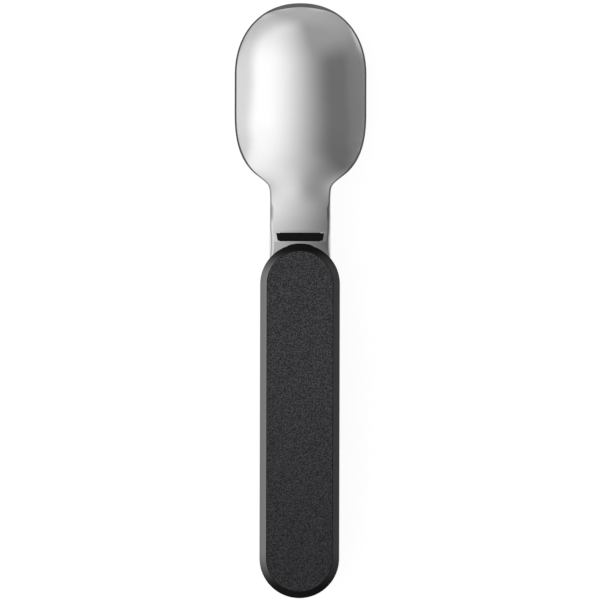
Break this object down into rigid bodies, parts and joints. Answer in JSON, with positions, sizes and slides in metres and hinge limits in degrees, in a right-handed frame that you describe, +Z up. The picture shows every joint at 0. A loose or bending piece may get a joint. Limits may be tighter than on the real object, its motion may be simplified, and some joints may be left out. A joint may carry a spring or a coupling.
{
  "type": "folding spoon",
  "caption": "Folding spoon: a drawn steel bowl and stem that swings on a cross pin and folds over a long black handle with rounded ends.",
  "frame": {"origin": "middle of the footprint, on the surface that the unfolded spoon lies on with its hollow side down", "axes": "+Y from the handle's butt to the bowl's tip, +Z up from the spoon's front to its back, X across"},
  "size_m": [0.0356, 0.16, 0.01],
  "materials": {
    "polished_steel": "satin polished drawn steel",
    "insert_black": "moulded black plastic",
    "pin_steel": "turned steel",
    "washer_nylon": "natural nylon",
    "spring_steel": "rolled spring steel",
    "handle_black": "black plastic with a fine moulded grain"
  },
  "bodies": {
    "handle": {"handle_front_shell": "handle_black", "handle_back_shell": "handle_black", "hinge_pin": "pin_steel", "washer_left": "washer_nylon", "washer_right": "washer_nylon", "detent_spring": "spring_steel"},
    "head": {"spoon_head": "polished_steel", "hinge_insert": "insert_black"}
  },
  "joints": [
    {"name": "fold", "type": "hinge", "parent": "handle", "child": "head", "pos_m": [0, 0.0055, 0.004], "axis": [-1, 0, 0], "range_deg": [0, 173.5]}
  ]
}
